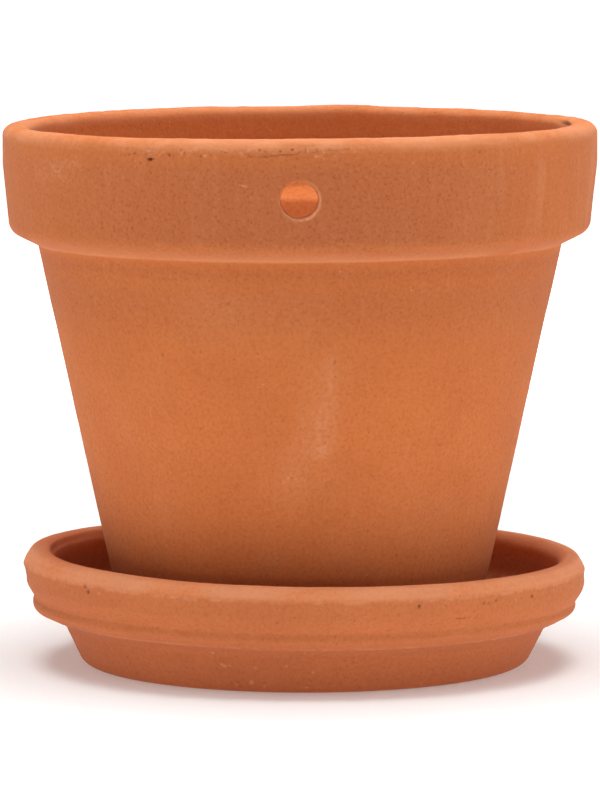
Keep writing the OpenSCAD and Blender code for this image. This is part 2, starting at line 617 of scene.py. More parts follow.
@dataclass(frozen=True)
class FiredClay:
    """The finish of unglazed, low-fired earthenware, warmer or paler from place to place, with painted light
    and shade in its colour.
    """

    name: str
    mid: tuple[float, float, float] = (0.57, 0.156, 0.041)
    deep: tuple[float, float, float] = (0.49, 0.124, 0.032)
    warm: tuple[float, float, float] = (0.62, 0.178, 0.046)
    # Colour of painted shade.
    painted_shade: tuple[float, float, float] = (0.475, 0.134, 0.045)
    # Colour of painted light.
    painted_light: tuple[float, float, float] = (0.73, 0.206, 0.058)
    pale: tuple[float, float, float] = (0.80, 0.36, 0.19)
    pit: tuple[float, float, float] = (0.36, 0.082, 0.022)
    # Darkest colour, for dirt and painted shade in pits, cracks and pores, and painted shade in the lip's
    # split and the saucer's bowl.
    grime_and_shade: tuple[float, float, float] = (0.085, 0.024, 0.011)
    specular: float = 0.20
    sheen: float = 0.03
    relief: float = 0.55
    clouds: Texture = Texture(14, 3, 0.55)
    blotch: Texture = Texture(46, 4, 0.6)
    streaks: Texture = Texture(330, 3, 0.55)
    lines: Texture = Texture(520, 3, 0.6)
    mottle: Texture = Texture(760, 4, 0.66)
    grain: Texture = Texture(980, 2, 0.55)
    dusting: Texture = Texture(700, 3, 0.6)
    coarse: Texture = Texture(420, 3, 0.55)
    fine: Texture = Texture(1700, 5, 0.7)
    coarse_depth: float = 0.20 * MM
    grain_depth: float = -0.16 * MM
    line_depth: float = 0.05 * MM
    fine_depth: float = 0.07 * MM
    pore_depth: float = -0.25 * MM
    grog_depth: float = 0.12 * MM

    def build(self) -> bpy.types.Material:
        """Makes the material with its colours, roughness and grain.

        Returns:
            The new material.
        """
        material = bpy.data.materials.new(self.name)
        material.use_nodes = True
        material.node_tree.nodes.clear()
        nodes = ClayNodes(material.node_tree)
        where = nodes.add("ShaderNodeTexCoord").outputs["Object"]
        blotch = nodes.noise(where, self.blotch)
        lines = nodes.noise(nodes.stretch(where, (0.08, 0.08, 1)), self.lines)
        mottle = nodes.noise(where, self.mottle)
        grain = nodes.noise(where, self.grain)
        grog = nodes.specks(where, 560, 0.15, 0.95)
        pores = nodes.specks(where, 640, 0.17, 0.93)

        colour = self.ground(nodes, where, blotch, lines)
        colour = self.speckle(nodes, colour, mottle, grain)
        colour = nodes.mix(nodes.scaled(grog, 0.30), colour, self.pale)
        colour = nodes.mix(nodes.scaled(pores, 0.22), colour, self.grime_and_shade)
        colour = self.stain(nodes, colour, where, blotch)

        shader = nodes.add("ShaderNodeBsdfPrincipled")
        shader.inputs["Specular IOR Level"].default_value = self.specular
        shader.inputs["Sheen Weight"].default_value = self.sheen
        nodes.link(colour, shader.inputs["Base Color"])
        nodes.link(nodes.ramp(mottle, 0.2, 0.8, 0.96, low=0.80), shader.inputs["Roughness"])
        normal: Socket | None = None
        for height, depth in (
            (nodes.noise(where, self.coarse), self.coarse_depth),
            (grain, self.grain_depth),
            (lines, self.line_depth),
            (nodes.noise(where, self.fine), self.fine_depth),
            (pores, self.pore_depth),
            (grog, self.grog_depth),
        ):
            normal = nodes.bump(height, depth, self.relief, normal)
        nodes.link(normal, shader.inputs["Normal"])
        output = nodes.add("ShaderNodeOutputMaterial")
        nodes.link(shader.outputs["BSDF"], output.inputs["Surface"])
        return material

    def ground(self, nodes: "ClayNodes", where: Socket, blotch: Socket, lines: Socket) -> Socket:
        """Mixes the clay's own colour with painted shade and painted light, and with what the fire and the
        wheel did to it.

        Args:
            nodes: The material's nodes.
            where: The place on the surface.
            blotch: Noise a few centimetres across.
            lines: Noise drawn out round the piece.

        Returns:
            The colour.
        """
        colour = nodes.mix(nodes.ramp(nodes.noise(where, self.clouds), 0.30, 0.72), self.mid, self.warm)
        # Painted shade, then painted light, from their masks.
        colour = nodes.mix(nodes.mask(PaintedMask.PAINTED_SHADE), colour, self.painted_shade)
        colour = nodes.mix(nodes.mask(PaintedMask.PAINTED_LIGHT), colour, self.painted_light)
        colour = nodes.mix(nodes.ramp(blotch, 0.44, 0.74, 0.22), colour, self.deep)
        streaks = nodes.noise(nodes.stretch(where, (1, 1, 0.10)), self.streaks)
        colour = nodes.mix(nodes.ramp(streaks, 0.52, 0.80, 0.08), colour, self.pale)
        return nodes.mix(nodes.ramp(lines, 0.50, 0.76, 0.10), colour, self.deep)

    def speckle(self, nodes: "ClayNodes", colour: Socket, mottle: Socket, grain: Socket) -> Socket:
        """Lays the clay's mottle and grain over its colour, with more grain where shade is painted.

        Args:
            nodes: The material's nodes.
            colour: The colour so far.
            mottle: Noise about a millimetre across.
            grain: Finer noise.

        Returns:
            The colour.
        """
        colour = nodes.mix(nodes.ramp(mottle, 0.46, 0.70, 0.38), colour, self.deep)
        colour = nodes.mix(nodes.ramp(mottle, 0.52, 0.30, 0.05), colour, self.pale)
        # More grain where shade is painted.
        rough = nodes.ramp(nodes.mask(PaintedMask.PAINTED_SHADE), 0.0, 1.0, 0.62, low=0.22)
        hollows = nodes.product(nodes.ramp(grain, 0.53, 0.70), rough)
        colour = nodes.mix(hollows, colour, self.pit)
        grit = nodes.product(nodes.ramp(grain, 0.44, 0.30), rough)
        return nodes.mix(nodes.scaled(grit, 0.16), colour, self.pale)

    def stain(self, nodes: "ClayNodes", colour: Socket, where: Socket, blotch: Socket) -> Socket:
        """Lays the painted masks over the colour: pale marks broken up as dust is, rubbed wear and painted
        highlight broken up in blotches, and the dark of dirt and painted shade.

        Args:
            nodes: The material's nodes.
            colour: The colour so far.
            where: The place on the surface.
            blotch: Noise a few centimetres across.

        Returns:
            The colour.
        """
        dusting = nodes.ramp(nodes.noise(where, self.dusting), 0.16, 0.66)
        colour = nodes.mix(nodes.product(nodes.mask(PaintedMask.PALE), dusting), colour, self.pale)
        # Rubbed wear and painted highlight, broken up in blotches.
        rubbed_and_lit = nodes.product(nodes.mask(PaintedMask.RUBBED_AND_LIT), nodes.ramp(blotch, 0.22, 0.58))
        colour = nodes.mix(nodes.scaled(rubbed_and_lit, 0.62), colour, self.pale)
        # Dirt and painted shade.
        return nodes.mix(nodes.mask(PaintedMask.DARK), colour, self.grime_and_shade)


class ClayNodes:
    """Short ways to add the nodes that a clay finish is made of."""

    def __init__(self, tree: bpy.types.NodeTree) -> None:
        """Works on one material's nodes."""
        self.tree = tree

    def add(self, kind: str) -> bpy.types.Node:
        """Adds a node of the given kind."""
        return self.tree.nodes.new(kind)

    def link(self, source: Socket, target: Socket) -> None:
        """Joins an output to an input."""
        self.tree.links.new(source, target)

    def put(self, value: object, target: Socket) -> None:
        """Joins a socket to an input, or sets a colour or a number on it.

        Args:
            value: A socket, a colour or a number.
            target: The input that takes it.
        """
        if isinstance(value, Socket):
            self.link(value, target)
        elif isinstance(value, tuple):
            target.default_value = (*value, 1.0)
        else:
            target.default_value = value

    def stretch(self, where: Socket, scale: tuple[float, float, float]) -> Socket:
        """Scales a place differently along each axis, to draw noise out into streaks.

        Args:
            where: The place on the surface.
            scale: Scale along each axis.

        Returns:
            The scaled place.
        """
        node = self.add("ShaderNodeMapping")
        self.link(where, node.inputs["Vector"])
        node.inputs["Scale"].default_value = scale
        return node.outputs["Vector"]

    def noise(self, where: Socket, texture: Texture) -> Socket:
        """Adds cloudy noise.

        Args:
            where: The place on the surface.
            texture: The noise wanted.

        Returns:
            The noise, from 0 to 1.
        """
        node = self.add("ShaderNodeTexNoise")
        self.link(where, node.inputs["Vector"])
        node.inputs["Scale"].default_value = texture.scale
        node.inputs["Detail"].default_value = texture.detail
        node.inputs["Roughness"].default_value = texture.rough
        return node.outputs["Fac"]

    def ramp(
        self, value: Socket, start: float, end: float, high: float = 1.0, low: float = 0.0
    ) -> Socket:
        """Turns a value's run from start to end into a smooth run from low to high.

        Args:
            value: The value.
            start: Where the run starts.
            end: Where it ends.
            high: Result at the end.
            low: Result at the start.

        Returns:
            The result.
        """
        node = self.add("ShaderNodeMapRange")
        node.interpolation_type = "SMOOTHSTEP"
        self.link(value, node.inputs["Value"])
        if start > end:
            start, end, high, low = end, start, low, high
        for socket, number in (("From Min", start), ("From Max", end), ("To Min", low), ("To Max", high)):
            node.inputs[socket].default_value = number
        return node.outputs["Result"]

    def specks(self, where: Socket, scale: float, size: float, rare: float) -> Socket:
        """Scatters small round specks.

        Args:
            where: The place on the surface.
            scale: Possible specks per metre.
            size: A speck's radius, as a share of a cell.
            rare: Share of the cells that stay empty.

        Returns:
            A mask that is 1 in the middle of each speck.
        """
        node = self.add("ShaderNodeTexVoronoi")
        self.link(where, node.inputs["Vector"])
        node.inputs["Scale"].default_value = scale
        spot = self.ramp(node.outputs["Distance"], size * 1.8, size * 0.6)
        parts = self.add("ShaderNodeSeparateColor")
        self.link(node.outputs["Color"], parts.inputs["Color"])
        chosen = self.ramp(parts.outputs["Red"], rare, min(rare + 0.04, 1.0))
        return self.product(spot, chosen)

    def math(self, operation: str, a: Socket, b: object) -> Socket:
        """Works out one value from two.

        Args:
            operation: The node's name for the sum.
            a: First value.
            b: Second value, a socket or a number.

        Returns:
            The result.
        """
        node = self.add("ShaderNodeMath")
        node.operation = operation
        self.link(a, node.inputs[0])
        self.put(b, node.inputs[1])
        return node.outputs["Value"]

    def product(self, a: Socket, b: object) -> Socket:
        """Multiplies two values."""
        return self.math("MULTIPLY", a, b)

    def scaled(self, value: Socket, amount: float) -> Socket:
        """Weakens a value by a fixed share."""
        return self.product(value, amount)

    def mask(self, stain: PaintedMask) -> Socket:
        """Reads one of the painted masks.

        Args:
            stain: The mask wanted.

        Returns:
            The mask, from 0 to 1.
        """
        node = self.add("ShaderNodeAttribute")
        node.attribute_name = stain.value
        return node.outputs["Fac"]

    def mix(self, share: Socket, a: object, b: object) -> Socket:
        """Mixes two colours.

        Args:
            share: Share of the second colour.
            a: First colour, as a socket or its red, green and blue.
            b: Second colour, likewise.

        Returns:
            The mixed colour.
        """
        node = self.add("ShaderNodeMix")
        node.data_type = "RGBA"
        self.link(share, node.inputs["Factor"])
        sockets = [s for s in node.inputs if s.type == "RGBA"]
        self.put(a, sockets[0])
        self.put(b, sockets[1])
        return next(s for s in node.outputs if s.type == "RGBA")

    def bump(
        self, height: Socket, depth: float, strength: float, under: Socket | None = None
    ) -> Socket:
        """Adds relief of a given depth, over any relief already there.

        Args:
            height: The relief's height, from 0 to 1.
            depth: How deep it is; a negative one is pressed in.
            strength: How much of it shows.
            under: Relief that it lies over.

        Returns:
            The surface's new direction.
        """
        node = self.add("ShaderNodeBump")
        node.inputs["Strength"].default_value = strength
        node.inputs["Distance"].default_value = abs(depth)
        node.invert = depth < 0
        self.link(height, node.inputs["Height"])
        if under is not None:
            self.link(under, node.inputs["Normal"])
        return node.outputs["Normal"]


class ClayPiece:
    """What the pot and its saucer share: being dressed and handed to the frame."""

    piece: str
    node: str
    body: str
    slot: str

    def hand_over(self, made: bpy.types.Mesh, finish: FiredClay, sharp: float = 50) -> bpy.types.Object:
        """Smooths, dresses and places the piece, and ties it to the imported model.

        Args:
            made: The finished mesh.
            finish: The clay's finish.
            sharp: Edges that turn by more than this many degrees stay crisp.

        Returns:
            The new object.
        """
        made.polygons.foreach_set("use_smooth", np.ones(len(made.polygons), dtype=bool))
        made.set_sharp_from_angle(angle=math.radians(sharp))
        made.materials.clear()
        made.materials.append(finish.build())
        thing = bpy.data.objects.new(self.piece, made)
        bpy.context.scene.collection.objects.link(thing)
        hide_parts(self.node)
        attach(thing, self.body)
        return thing


@dataclass
class TieHole:
    """The hole through the front of the collar, as a cutter with a bevelled mouth."""

    radius: float = 6.0 * MM
    height: float = 163.4 * MM
    face_radius: float = 99.4 * MM
    bevel: float = 0.45 * MM
    inner_y: float = -82 * MM
    aside: float = -0.80 * MM
    squat: float = 0.97
    wobble: float = 0.05 * MM
    sides: int = 120

    def rings(self) -> list[list[tuple[float, float, float]]]:
        """The cutter's rings of points, from inside the pot out through the bevel.

        Returns:
            The rings, each a list of places.
        """
        profile = (
            (None, 0.0),
            (6.0 * MM, 0.0),
            (3.0 * MM, 0.05 * MM),
            (self.bevel, 0.0),
            (self.bevel / 2, self.bevel * 0.35),
            (0.0, self.bevel),
            (-2.0 * MM, self.bevel * 3.4),
        )
        rings = []
        for depth, grow in profile:
            ring = []
            for k in range(self.sides):
                turn = 2 * math.pi * k / self.sides
                radius = self.radius + grow + self.wobble * math.sin(3 * turn + 1.0)
                x, z = radius * math.cos(turn), radius * math.sin(turn) * self.squat
                face = -math.sqrt(self.face_radius**2 - x * x)
                y = self.inner_y if depth is None else face + depth
                ring.append((x + self.aside, y, self.height + z))
            rings.append(ring)
        return rings

    def cutter(self) -> bpy.types.Object:
        """Builds the solid that is cut out of the collar, with its own strip of the baking map.

        Returns:
            The cutter.
        """
        rings = self.rings()
        count, last_ring = self.sides, len(rings) - 1
        faces = [tuple(range(count))[::-1], tuple(last_ring * count + k for k in range(count))]
        for j in range(last_ring):
            for k in range(count):
                n = (k + 1) % count
                faces.append((j * count + k, j * count + n, (j + 1) * count + n, (j + 1) * count + k))
        made = bpy.data.meshes.new("tie_hole_cutter")
        made.from_pydata([place for ring in rings for place in ring], [], faces)
        layer = made.uv_layers.new(name=BAKE_MAP)
        strip = 1 - CUT_STRIP
        low, tall = CUT_STRIP + strip * 0.2, strip * 0.7
        for face in made.polygons:
            round_the_seam = max(v % count for v in face.vertices) == count - 1
            for loop in face.loop_indices:
                ring, k = divmod(made.loops[loop].vertex_index, count)
                across = count if len(face.vertices) == 4 and k == 0 and round_the_seam else k
                layer.uv[loop].vector = (across / count, low + tall * ring / last_ring)
        cutter = bpy.data.objects.new("tie_hole_cutter", made)
        bpy.context.scene.collection.objects.link(cutter)
        return cutter

    def cut(self, made: bpy.types.Mesh) -> bpy.types.Mesh:
        """Cuts the hole through a mesh and gives back the cut one.

        Args:
            made: The mesh to cut.

        Returns:
            The mesh with the hole through it.
        """
        cutter = self.cutter()
        blank = bpy.data.objects.new("collar_blank", made)
        bpy.context.scene.collection.objects.link(blank)
        step = blank.modifiers.new("hole", "BOOLEAN")
        step.operation = "DIFFERENCE"
        step.solver = "MANIFOLD"
        step.object = cutter
        graph = bpy.context.evaluated_depsgraph_get()
        result = bpy.data.meshes.new_from_object(blank.evaluated_get(graph), depsgraph=graph)
        result.name = made.name
        for thing in (blank, cutter):
            bpy.data.objects.remove(thing)
        return result


@dataclass
class ClayPot(ClayPiece):
    """The pot: a thick collar over a tapered body, with a ledge inside for stacking."""

    piece: str = "fired_pot"
    node: str = "pot"
    body: str = "pot"
    slot: str = "pot_clay"
    base_radius: float = 58.9 * MM
    body_wall: float = 7.5 * MM
    base_thickness: float = 9.0 * MM
    base_round: float = 3.0 * MM
    well_round: float = 9.0 * MM
    collar_height: float = 41.0 * MM
    collar_taper: float = 2.3 * MM
    collar_step: float = 9.5 * MM
    band_height: float = 14.0 * MM
    lip_thickness: float = 9.0 * MM
    skirt_rise: float = 4.73 * MM
    skirt_round: float = 5.0 * MM
    ledge_rise: float = 13.2 * MM
    ledge_fall: float = 4.5 * MM
    collar_draft: float = 0.8 * MM
    drain_radius: float = 11.0 * MM
    rim_swell: float = 0.25 * MM
    lip_lean: float = 0.0037
    lip_sag: float = 0.58 * MM
    lip_lumps: float = 0.10 * MM
    split_angle: float = 98.0
    split_depth: float = 0.7 * MM
    edge_relief: float = 0.05 * MM
    face_relief: float = 0.085 * MM
    burr_height: float = 0.16 * MM
    smear_end: float = 76.6 * MM
    aside: float = -0.50 * MM
    lip_aside: float = -0.02 * MM
    tie_hole: TieHole = field(default_factory=TieHole)

    def build(self, finish: FiredClay) -> bpy.types.Object:
        """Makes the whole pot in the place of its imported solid.

        Args:
            finish: The clay's finish.

        Returns:
            The new object.
        """
        low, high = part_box(self.node)
        self.base_z, self.lip_z, self.rim_radius = low[2], high[2], (high[0] - low[0]) / 2
        surface = TurnedSurface(self.section(), seed=11)
        self.weather(surface)
        self.work_lip(surface)
        self.mark_collar(surface)
        self.mark_body(surface)
        self.lean(surface)
        made = self.tie_hole.cut(surface.mesh(self.piece, ring=True))
        surface.write_masks(made, cut_pale=0.12)
        return self.hand_over(made, finish)

    def section(self) -> list[Corner]:
        """The pot's section, from the drain hole out, up the outside and down the inside.

        Returns:
            The section's corners in order.
        """
        neck_z = self.lip_z - self.collar_height
        rim = self.rim_radius + self.rim_swell
        skirt = rim - self.collar_taper
        neck = skirt - self.collar_step
        flare = (neck - self.base_radius) / (neck_z - self.base_z)
        lip_in = self.rim_radius - self.lip_thickness
        ledge_z = neck_z + self.ledge_rise
        ledge_in_z = ledge_z - self.ledge_fall
        well_z = self.base_z + self.base_thickness
        wall = self.base_radius - self.body_wall
        out, inn, foot = Skin.OUTSIDE, Skin.INSIDE, Skin.FOOT
        return [
            Corner(self.drain_radius, self.base_z, 0, 2.6 * MM, foot),
            Corner(self.base_radius, self.base_z, self.base_round, 0.95 * MM, out),
            Corner(neck, neck_z, 1.0 * MM, 0.5 * MM, out),
            Corner(skirt, neck_z + self.skirt_rise, self.skirt_round, 0.42 * MM, out),
            Corner(rim, self.lip_z - self.band_height, 30 * MM, 0.42 * MM, out),
            Corner(rim, self.lip_z - 7.5 * MM, 0, 0.32 * MM, out),
            Corner(rim, self.lip_z, 5.0 * MM, 0.4 * MM, out),
            Corner(lip_in, self.lip_z, 4.0 * MM, 0.5 * MM, inn),
            Corner(lip_in, self.lip_z - 6 * MM, 0, 1.2 * MM, inn),
            Corner(lip_in - self.collar_draft, ledge_z, 3.0 * MM, 0.5 * MM, inn),
            Corner(wall + flare * (ledge_in_z - self.base_z), ledge_in_z, 1.0 * MM, 2.4 * MM, inn),
            Corner(wall + flare * self.base_thickness, well_z, self.well_round, 2.6 * MM, inn),
            Corner(self.drain_radius, well_z, 0.0, 1.5 * MM, inn),
            Corner(self.drain_radius, self.base_z, 0.0, 1.5 * MM, foot),
        ]

    def weather(self, surface: TurnedSurface) -> None:
        """Lays the slow unevenness and the fine turning lines over all but the pot's foot."""
        above = climb(surface.height, self.base_z + 1.5 * MM, 6 * MM)
        surface.roughen(POT_UNEVENNESS, ((surface.skin != Skin.FOOT.value) * above)[:, None])

    def work_lip(self, surface: TurnedSurface) -> None:
        """Makes the lip uneven, as a damp rim gets when the pot is handled, and rubs its crown pale, partly
        as wear and partly as painted highlight where it faces up.

        Args:
            surface: The pot's surface.
        """
        depth = (self.lip_z - surface.height)[:, None]
        turns = surface.theta[None, :]
        wave = sum(w.rise * np.sin(w.per_turn * turns + w.start) for w in LIP_WAVES)
        back = surface.degrees % 360
        humps = 0.45 * MM * bell(back, 168.5, 5.0) + 0.25 * MM * bell(back, 176, 4.0)
        surface.rise += (wave + humps - self.lip_sag) * fall(depth, 13 * MM, 13 * MM) ** 1.4
        crown = fall(depth, 5.0 * MM, 5.0 * MM)
        surface.lift += self.lip_lumps * surface.cloud((150, 160), 3) * crown**2
        patchiness = np.clip(0.85 + 0.35 * surface.cloud((60, 90), 3), 0, 1)
        front = 0.55 + 0.45 * np.cos(turns / 2) ** 2
        # The crown's pale is partly rubbed wear and partly painted highlight, most at the front.
        surface.paint(PaintedMask.RUBBED_AND_LIT, np.minimum(1.6 * crown, 0.75) * patchiness * front)
        self.split_lip(surface, depth)

    def split_lip(self, surface: TurnedSurface, depth: np.ndarray) -> None:
        """Opens the short split along the lip's inner edge, just behind its right side, and paints shade into
        it.

        Args:
            surface: The pot's surface.
            depth: Each row's depth under the lip.
        """
        inside = (surface.skin == Skin.INSIDE.value)[:, None]
        split = bell(surface.degrees, self.split_angle, 5) * bell(depth, 1.5 * MM, 0.8 * MM) * inside
        surface.lift -= self.split_depth * split
        # Painted shade inside the split.
        surface.paint(PaintedMask.DARK, 0.85 * split)

    def mark_collar(self, surface: TurnedSurface) -> None:
        """Puts the pits, the drag crack and the burr round the tie hole on the collar, and paints shade on
        its front.

        Args:
            surface: The pot's surface.
        """
        for pit in COLLAR_PITS:
            surface.dent(pit)
        for scratch in COLLAR_SCRATCHES:
            surface.score(scratch)
        for speckling in COLLAR_SPECKLING:
            self.strew(surface, speckling)
        self.raise_burr(surface)
        rough = surface.cloud((500, 420), 2)
        self.wear_edge(surface, rough)
        self.scuff_collar(surface, rough)
        self.shade_collar_front(surface)

    def wear_edge(self, surface: TurnedSurface, rough: np.ndarray) -> None:
        """Roughens the collar's upper edge, most of all at the front.

        Args:
            surface: The pot's surface.
            rough: Fine noise over the surface.
        """
        edge = surface.side(Skin.OUTSIDE, 176.5 * MM, 181.5 * MM, 1.5 * MM)
        patchiness = surface.smudged(EDGE_WEAR)
        surface.lift += self.edge_relief * rough * edge * (0.5 + patchiness)
        surface.paint(PaintedMask.PALE, np.clip(rough - 0.35, 0, 1) * edge * (0.12 + 0.75 * patchiness))

    def scuff_collar(self, surface: TurnedSurface, rough: np.ndarray) -> None:
        """Roughens the collar's face and lays its scuffs and its pale upright bands.

        Args:
            surface: The pot's surface.
            rough: Fine noise over the surface.
        """
        lower = surface.side(Skin.OUTSIDE, 147 * MM, 171 * MM, 8 * MM)
        middle = bell(surface.degrees, 0, 48, 4)
        surface.lift += self.face_relief * rough * lower * (0.25 + 0.75 * middle)
        bands = np.clip(surface.cloud((150, 10), 2), 0, 1)
        right = climb(surface.degrees, 34, 20) * fall(surface.degrees, 100, 20)
        banded = surface.side(Skin.OUTSIDE, 146 * MM, 178 * MM, 6 * MM)
        scuffs = surface.smudged(COLLAR_SCUFFS) * np.clip(0.55 + 0.8 * rough, 0, 1.5)
        surface.paint(PaintedMask.PALE, scuffs + 0.16 * bands * (0.25 + right) * banded)

    def shade_collar_front(self, surface: TurnedSurface) -> None:
        """Paints shade on the collar's face, most where it looks to the front, in soft patches.

        Args:
            surface: The pot's surface.
        """
        face = surface.side(Skin.OUTSIDE, 141.5 * MM, 181 * MM, 9 * MM)
        front = bell(surface.degrees, 0, 46, 4)
        patchy = surface.cloud((9, 12), 3)
        # Painted shade, strongest where the collar faces the front.
        surface.masks[PaintedMask.PAINTED_SHADE] += face * np.clip(0.18 + 0.82 * front + 0.12 * patchy, 0, 1)

    def raise_burr(self, surface: TurnedSurface) -> None:
        """Raises the thin ridge of clay that the tool pushed up round the tie hole.

        Args:
            surface: The pot's surface.
        """
        hole = self.tie_hole
        rows, columns = surface.window(0, hole.height, 16 * MM)
        patch = np.ix_(rows, columns)
        across = surface.flat_place(rows, columns, 0)
        up = surface.height[rows][:, None] - hole.height
        far = np.hypot(across, up) - hole.radius
        side = 0.55 + 0.45 * np.cos(np.arctan2(up, across) + math.radians(40))
        ridge = bell(far, 0.35 * MM, 0.55 * MM) * side
        surface.lift[patch] += self.burr_height * ridge
        surface.paint(PaintedMask.PALE, 0.75 * ridge, patch)

    def mark_body(self, surface: TurnedSurface) -> None:
        """Puts the pale smear, a few pits and faint bloom on it, with painted light on its middle, a painted
        highlight along the collar's lower edge, and bands of painted light and shade.

        Args:
            surface: The pot's surface.
        """
        for pit in BODY_PITS:
            surface.dent(pit)
        self.strew(surface, BODY_SPECKLING)
        streaks = surface.cloud((260, 16), 2)
        grains = surface.cloud((700, 420), 2)
        broken = np.clip(0.80 + 0.42 * streaks + 0.16 * grains, 0, 1.3)
        height = surface.height[:, None]
        smear = surface.smudged(BODY_SMEAR) * climb(height, self.smear_end, 1.0 * MM)
        bloom = np.clip(surface.cloud((18, 14), 3) - 0.25, 0, 1)
        faint = 0.10 * bloom * surface.side(Skin.OUTSIDE, 30 * MM, 142 * MM, 12 * MM)
        surface.paint(PaintedMask.PALE, (smear + surface.smudged(BODY_PATCH)) * broken + faint)
        # Painted light on the body's middle, where the floor's light reaches it.
        glow = bell(height, 74 * MM, 36 * MM) * climb(height, 26 * MM, 26 * MM)
        glow *= surface.side(Skin.OUTSIDE, 14 * MM, 141 * MM, 8 * MM)
        # Painted highlight along the collar's lower edge, which faces down to the floor.
        skirt = fall(height, 148.5 * MM, 5.5 * MM) ** 2
        skirt = skirt * surface.side(Skin.OUTSIDE, 142.2 * MM, 150 * MM, 0.5 * MM)
        surface.paint(PaintedMask.RUBBED_AND_LIT, 0.60 * skirt)
        surface.masks[PaintedMask.PAINTED_LIGHT] += 0.62 * glow + 0.15 * skirt
        # Painted shade low on the body and under the collar, and painted light on the ledge inside.
        for band in POT_LIGHT_AND_SHADE:
            surface.shade(band)

    def strew(self, surface: TurnedSurface, speckling: Speckling) -> None:
        """Presses small pits at random places between two heights of the outside.

        Args:
            surface: The pot's surface.
            speckling: How many pits, where and how large.
        """
        draw = surface.rng.uniform
        for _ in range(speckling.count):
            size = draw(*speckling.sizes) * MM
            surface.dent(Pit(
                angle=draw(-180, 180),
                height=draw(*speckling.heights),
                width=size,
                tall=size * draw(*ROUNDNESS),
                depth=speckling.depth * MM * draw(*DEPTH_SPREAD),
                dark=speckling.dark * draw(0.2, 1.0),
                pale=0.2 * draw(0, 1),
            ))

    def lean(self, surface: TurnedSurface) -> None:
        """Lets the lip stand a little higher on the right, over a flat base, and sets the pot off centre.

        Args:
            surface: The pot's surface.
        """
        share = np.clip((surface.height - self.base_z) / (self.lip_z - self.base_z), 0, 1)[:, None]
        right = surface.radius[:, None] * np.sin(surface.theta)[None, :]
        surface.rise += self.lip_lean * right * share
        surface.shift_x += self.aside + self.lip_aside * share


